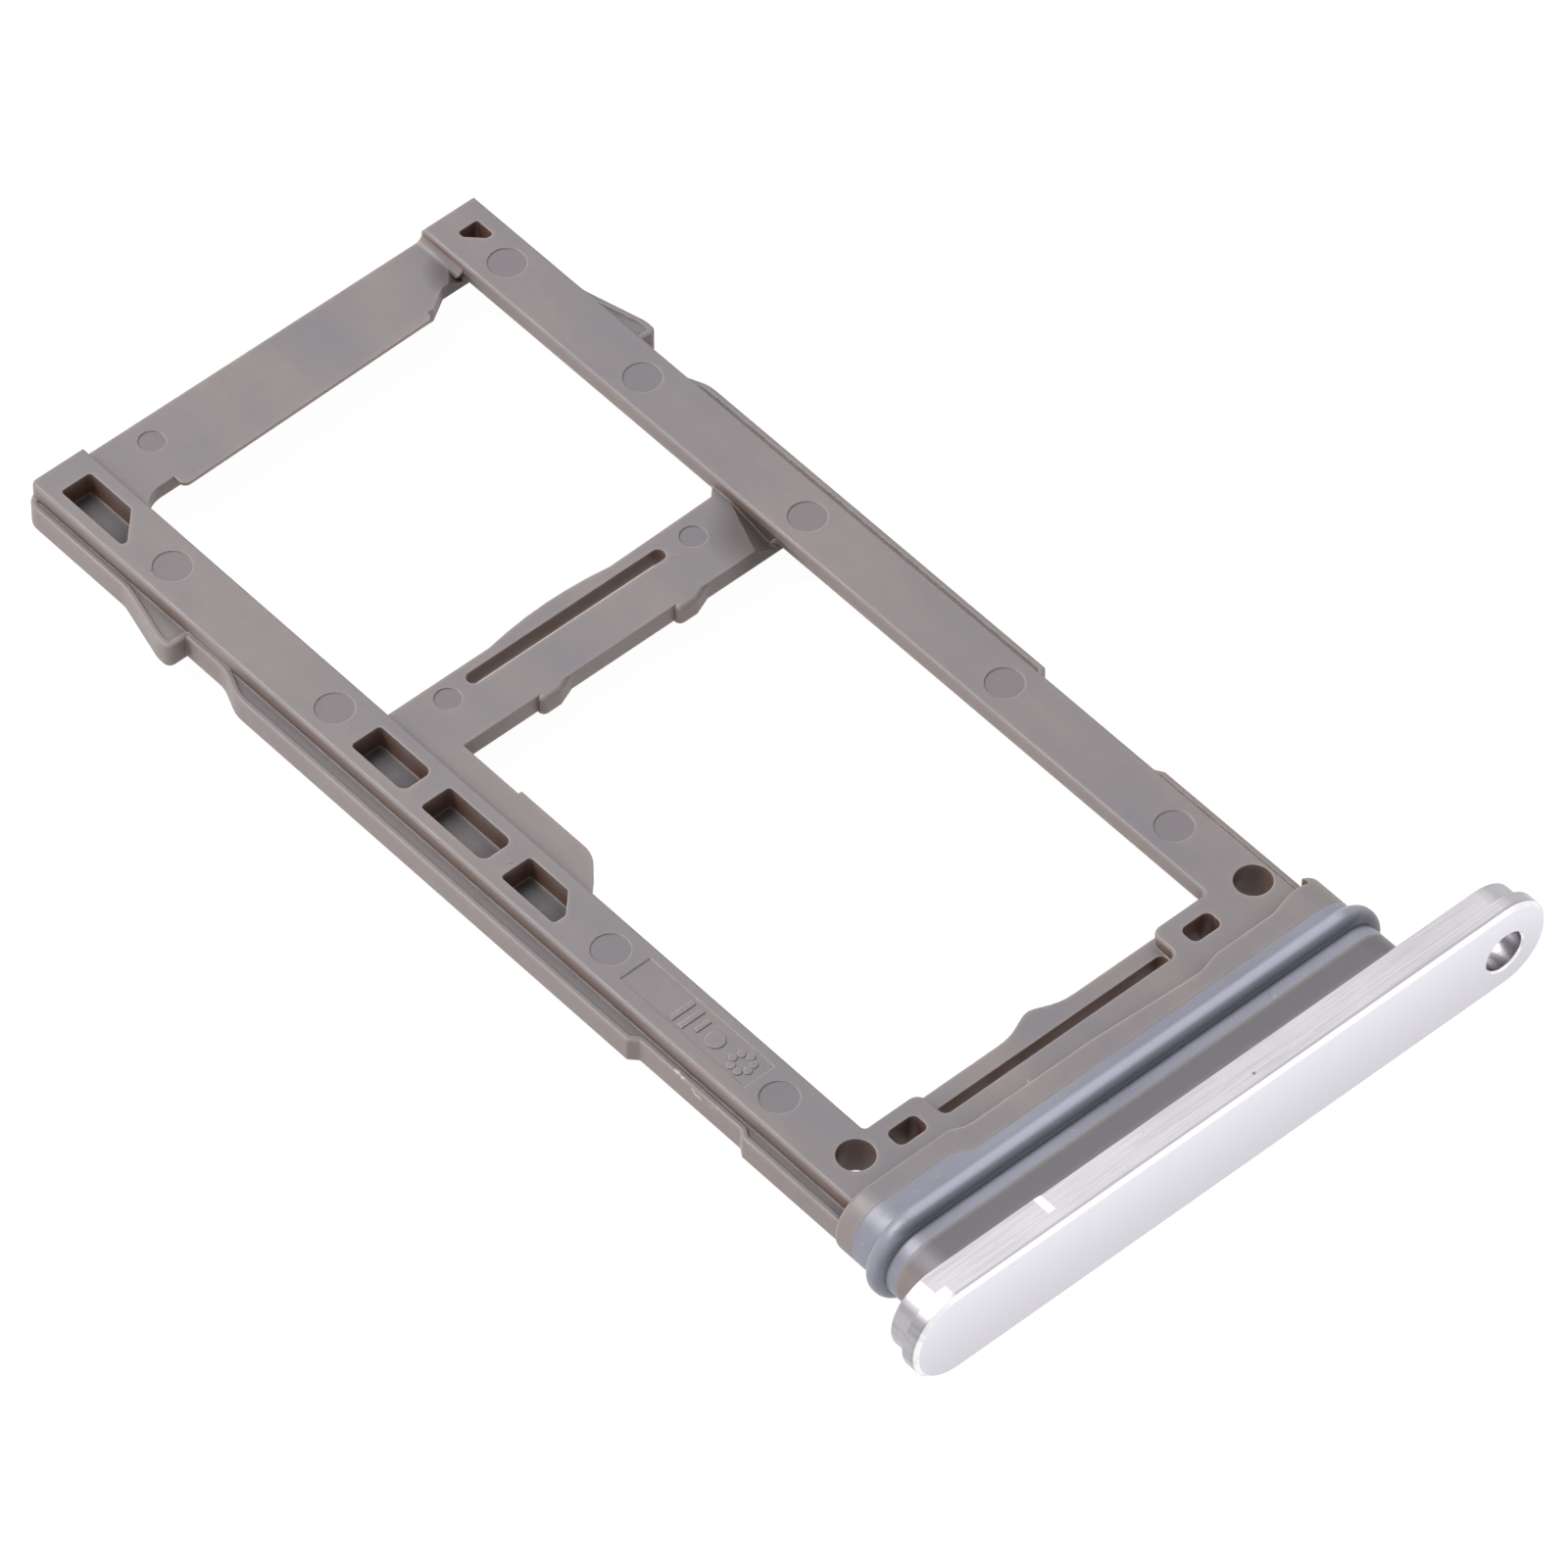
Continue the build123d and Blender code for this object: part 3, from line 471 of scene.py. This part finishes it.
def turned_metal():
    """Satin aluminium with fine tool lines round its bands, painted highlights on its edges and a
    smooth front.
    """
    shader = Shader("turned_metal")
    place = shader.position()
    side = shader.ramp(shader.math("ABSOLUTE", shader.facing("Y")), 0.5, 0.8, 1.0, 0.0)
    colour = fade_front(shader, metal_tone(shader))

    lines = shader.node("ShaderNodeMapping", {"Vector": place, "Scale": (0.02, 1.0, 0.02)})
    tool = shader.noise(0.035 * MM, 3.0, lines.outputs["Vector"])
    tool_on_bands = shader.times(tool, side)
    drawn = shader.times(shader.ramp(tool_on_bands, 0.45, 0.65), 0.35)
    colour = shader.blend(drawn, colour, srgb(160, 157, 163))

    colour = line_bands(shader, colour, side)
    colour = grey_ends(shader, colour, side)
    orange_peel = shader.times(shader.noise(0.12 * MM, 2.0), 0.15)
    height = shader.math("ADD", tool_on_bands, orange_peel)
    normal = shader.bump(height, 0.004 * MM, 0.45, shader.rounded(0.03 * MM))
    rough = shader.ramp(side, 0.0, 1.0, 0.20, 0.34)
    return shader.surface({
        "Base Color": colour,
        "Metallic": 1.0,
        "Roughness": rough,
        "Normal": normal,
    })


plastic = moulded_plastic()
rubber = seal_rubber()
metal = turned_metal()


def finish_node(name, material):
    """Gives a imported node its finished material."""
    mesh = nodes[name].data
    mesh.materials.clear()
    mesh.materials.append(material)


finish_node("card_carrier", plastic)
finish_node("neck_seal", rubber)
finish_node("end_cap", metal)


class Growth:
    """A Geometry Nodes tree that grows one moulded detail, then is baked to a mesh."""

    def __init__(self, name, inputs):
        self.name = name
        self.tree = bpy.data.node_groups.new(name, "GeometryNodeTree")
        interface = self.tree.interface
        interface.new_socket("Geometry", in_out="INPUT", socket_type="NodeSocketGeometry")
        for label, (kind, _) in inputs.items():
            interface.new_socket(label, in_out="INPUT", socket_type=kind)
        interface.new_socket("Geometry", in_out="OUTPUT", socket_type="NodeSocketGeometry")
        self.given = self.tree.nodes.new("NodeGroupInput").outputs
        self.result = self.tree.nodes.new("NodeGroupOutput")
        self.values = {label: value for label, (_, value) in inputs.items()}

    def node(self, kind, inputs=None, **settings):
        made = self.tree.nodes.new(kind)
        for key, value in settings.items():
            setattr(made, key, value)
        for key, value in (inputs or {}).items():
            if isinstance(value, bpy.types.NodeSocket):
                self.tree.links.new(value, made.inputs[key])
            else:
                made.inputs[key].default_value = value
        return made

    def bake(self, geometry, points, material):
        """Ends the tree, runs it on the given points and leaves a plain mesh object."""
        whole = self.node("GeometryNodeRealizeInstances", {"Geometry": geometry})
        done = self.node(
            "GeometryNodeSetMaterial", {"Geometry": whole.outputs[0], "Material": material}
        )
        self.tree.links.new(done.outputs[0], self.result.inputs[0])
        seeds = bpy.data.meshes.new(self.name + "_points")
        seeds.from_pydata(points, [], [])
        grower = bpy.data.objects.new(self.name + "_points", seeds)
        scene.collection.objects.link(grower)
        modifier = grower.modifiers.new("grow", "NODES")
        modifier.node_group = self.tree
        for item in self.tree.interface.items_tree:
            if item.in_out == "INPUT" and item.name in self.values:
                modifier[item.identifier] = self.values[item.name]
        view = bpy.context.evaluated_depsgraph_get()
        mesh = bpy.data.meshes.new_from_object(grower.evaluated_get(view), depsgraph=view)
        grower.modifiers.remove(modifier)
        bpy.data.objects.remove(grower)
        mesh.name = self.name
        mesh.materials.clear()
        mesh.materials.append(material)
        grown = bpy.data.objects.new(self.name, mesh)
        scene.collection.objects.link(grown)
        return grown


def keep_piece(piece):
    """Hands a finished piece over as part of the tray."""
    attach(piece, "root")


def lobed_stamp():
    """A ring of small raised lobes, as a plain mould mark on the left rail."""
    growth = Growth("lobed_stamp", {
        "Lobes": ("NodeSocketInt", 7),
        "Ring Radius": ("NodeSocketFloat", 0.27 * MM),
        "Lobe Radius": ("NodeSocketFloat", 0.11 * MM),
        "Height": ("NodeSocketFloat", MARK_HEIGHT),
    })
    given = growth.given
    ring = growth.node(
        "GeometryNodeMeshCircle", {"Vertices": given["Lobes"], "Radius": given["Ring Radius"]}
    )
    lobe = growth.node("GeometryNodeMeshCylinder", {
        "Vertices": 20, "Radius": given["Lobe Radius"], "Depth": given["Height"],
    })
    lobes = growth.node("GeometryNodeInstanceOnPoints", {
        "Points": ring.outputs["Mesh"], "Instance": lobe.outputs["Mesh"],
    })
    stamped = growth.node("GeometryNodeInstanceOnPoints", {
        "Points": given["Geometry"], "Instance": lobes.outputs["Instances"],
    })
    return growth.bake(stamped.outputs["Instances"], [on_panel(*STAMP_PLACE)], plastic)


def flash_crumbs():
    """Crumbs of flash left along the mould's parting line, each turned and sized by chance."""
    growth = Growth("flash_crumbs", {
        "Size": ("NodeSocketFloat", 0.05 * MM),
        "Roughness": ("NodeSocketFloat", 0.03 * MM),
        "Seed": ("NodeSocketInt", SCENE_SEED),
    })
    given = growth.given
    crumb = growth.node(
        "GeometryNodeMeshIcoSphere", {"Radius": given["Size"], "Subdivisions": 3}
    )
    chance = growth.node("ShaderNodeTexNoise", {"Scale": 1 / (0.09 * MM), "Detail": 2.0})
    centred = growth.node("ShaderNodeVectorMath", operation="SUBTRACT")
    growth.tree.links.new(chance.outputs["Color"], centred.inputs[0])
    centred.inputs[1].default_value = (0.5, 0.5, 0.5)
    push = growth.node("ShaderNodeVectorMath", operation="SCALE")
    growth.tree.links.new(centred.outputs["Vector"], push.inputs[0])
    growth.tree.links.new(given["Roughness"], push.inputs["Scale"])
    torn = growth.node("GeometryNodeSetPosition", {
        "Geometry": crumb.outputs["Mesh"], "Offset": push.outputs["Vector"],
    })
    turn = growth.node(
        "FunctionNodeRandomValue", {"Max": (0.5, 0.5, 6.28), "Seed": given["Seed"]},
        data_type="FLOAT_VECTOR",
    )
    sizes = growth.node(
        "FunctionNodeRandomValue",
        {0: (0.9, 0.45, 0.25), 1: (1.6, 0.8, 0.45), "Seed": given["Seed"]},
        data_type="FLOAT_VECTOR",
    )
    scattered = growth.node("GeometryNodeInstanceOnPoints", {
        "Points": given["Geometry"], "Instance": torn.outputs["Geometry"],
        "Rotation": turn.outputs["Value"], "Scale": sizes.outputs["Value"],
    })
    return growth.bake(scattered.outputs["Instances"], FLASH_PLACES, plastic)


def raised_mark(name, outline):
    """A plain raised figure on the left rail's panel, drawn through an outline in millimetres."""
    shape = bmesh.new()
    floor = [shape.verts.new(on_panel(x, y) - Vector((0, 0, MARK_HEIGHT / 2))) for x, y in outline]
    face = shape.faces.new(floor)
    lifted = bmesh.ops.extrude_face_region(shape, geom=[face])["geom"]
    bmesh.ops.translate(
        shape, verts=[v for v in lifted if isinstance(v, bmesh.types.BMVert)],
        vec=(0, 0, MARK_HEIGHT),
    )
    bmesh.ops.recalc_face_normals(shape, faces=shape.faces)
    mesh = bpy.data.meshes.new(name)
    shape.to_mesh(mesh)
    shape.free()
    mesh.materials.append(plastic)
    mark = bpy.data.objects.new(name, mesh)
    scene.collection.objects.link(mark)
    return mark


def ring_points(x, y, radius, count=28):
    """Points round a circle."""
    turns = [2 * math.pi * step / count for step in range(count)]
    return [(x + radius * math.cos(turn), y + radius * math.sin(turn)) for turn in turns]


def bar_points(x, y, length, width):
    """Corners of a bar."""
    corners = [(-1, -1), (1, -1), (1, 1), (-1, 1)]
    return [(x + i * length / 2, y + j * width / 2) for i, j in corners]


for bar_name, bar in MARK_BARS.items():
    keep_piece(raised_mark(bar_name, bar_points(*bar)))
keep_piece(raised_mark("mould_mark_dot", ring_points(*DOT_PLACE, DOT_RADIUS)))
keep_piece(lobed_stamp())
keep_piece(flash_crumbs())


# Floor, lamps and world
def white_floor():
    """A matt white sheet that shows as the photograph's white, with the tray's faint shadow."""
    bpy.ops.mesh.primitive_plane_add(size=4)
    floor = bpy.context.object
    floor.name = "floor"
    shader = Shader("white_paper")
    fibres = shader.bump(shader.noise(0.6 * MM, 3.0), 0.02 * MM, 0.3)
    paper = shader.node(
        "ShaderNodeBsdfDiffuse", {"Color": (0.86, 0.86, 0.86, 1), "Normal": fibres}
    )
    glow = shader.node("ShaderNodeEmission", {"Color": WHITE, "Strength": 1.07})
    rays = shader.node("ShaderNodeLightPath").outputs
    seen = shader.math("MAXIMUM", rays["Is Camera Ray"], rays["Is Glossy Ray"])
    seen = shader.math("MAXIMUM", seen, rays["Is Transmission Ray"])
    mixed = shader.node("ShaderNodeMixShader", {0: shader.times(seen, 0.90)})
    shader.feed(mixed.inputs[1], paper.outputs["BSDF"])
    shader.feed(mixed.inputs[2], glow.outputs["Emission"])
    shader.feed(shader.output.inputs["Surface"], mixed.outputs["Shader"])
    floor.data.materials.append(shader.material)


def softbox(name, place, aim, size, power):
    """A square soft lamp that faces the tray."""
    lamp = bpy.data.lights.new(name, "AREA")
    lamp.shape = "SQUARE"
    lamp.size = size
    lamp.energy = power
    holder = bpy.data.objects.new(name, lamp)
    holder.location = place
    holder.rotation_euler = (aim - place).to_track_quat("-Z", "Y").to_euler()
    scene.collection.objects.link(holder)


def light_tent():
    """An even white surround."""
    world = bpy.data.worlds.new("light_tent")
    scene.world = world
    world.use_nodes = True
    tree = world.node_tree
    background = tree.nodes["Background"]
    background.inputs["Color"].default_value = WHITE
    rays = tree.nodes.new("ShaderNodeLightPath")
    seen = tree.nodes.new("ShaderNodeMath")
    seen.operation = "MAXIMUM"
    tree.links.new(rays.outputs["Is Camera Ray"], seen.inputs[0])
    tree.links.new(rays.outputs["Is Glossy Ray"], seen.inputs[1])
    strength = tree.nodes.new("ShaderNodeMapRange")
    strength.inputs["To Min"].default_value = 0.50
    strength.inputs["To Max"].default_value = 1.0
    tree.links.new(seen.outputs[0], strength.inputs["Value"])
    tree.links.new(strength.outputs["Result"], background.inputs["Strength"])


white_floor()
light_tent()
softbox("top_lamp", LAMP_PLACE, mm(0, 0, 0), LAMP_SIZE, LAMP_POWER)
